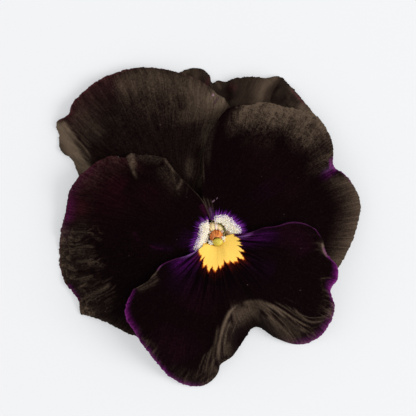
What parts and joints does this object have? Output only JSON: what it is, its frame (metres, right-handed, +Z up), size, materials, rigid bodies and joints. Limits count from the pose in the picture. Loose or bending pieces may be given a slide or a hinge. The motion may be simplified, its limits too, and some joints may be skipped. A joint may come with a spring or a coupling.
{
  "type": "pansy flower",
  "caption": "Single near-black pansy bloom lying face up: overlapping waved petals, a yellow blotch and white beards round the throat, with sepals, spur and a stub of stalk behind.",
  "frame": {"origin": "on the surface that the bloom lies on, under the middle of its outline", "axes": "+Z up out of the flower's face, +Y from the lower petal towards the two upper petals, +X to the right as the flower is looked at"},
  "size_m": [0.0636, 0.067, 0.0117],
  "materials": {
    "petal_black": "velvety matte, near black with purple rims",
    "calyx_green": "satin leaf green",
    "pistil_green": "moist yellow green",
    "anther_cream": "matte cream",
    "anther_orange": "matte orange brown",
    "beard_white": "matte cream-white hairs"
  },
  "bodies": {
    "root": {"petal_lower": "petal_black", "petal_left": "petal_black", "petal_right": "petal_black", "petal_upper_left": "petal_black", "petal_upper_right": "petal_black", "calyx_and_stalk": "calyx_green", "pistil": "pistil_green", "stamens": "anther_cream", "anther_tips": "anther_orange", "beard_left": "beard_white", "beard_right": "beard_white"}
  },
  "joints": []
}
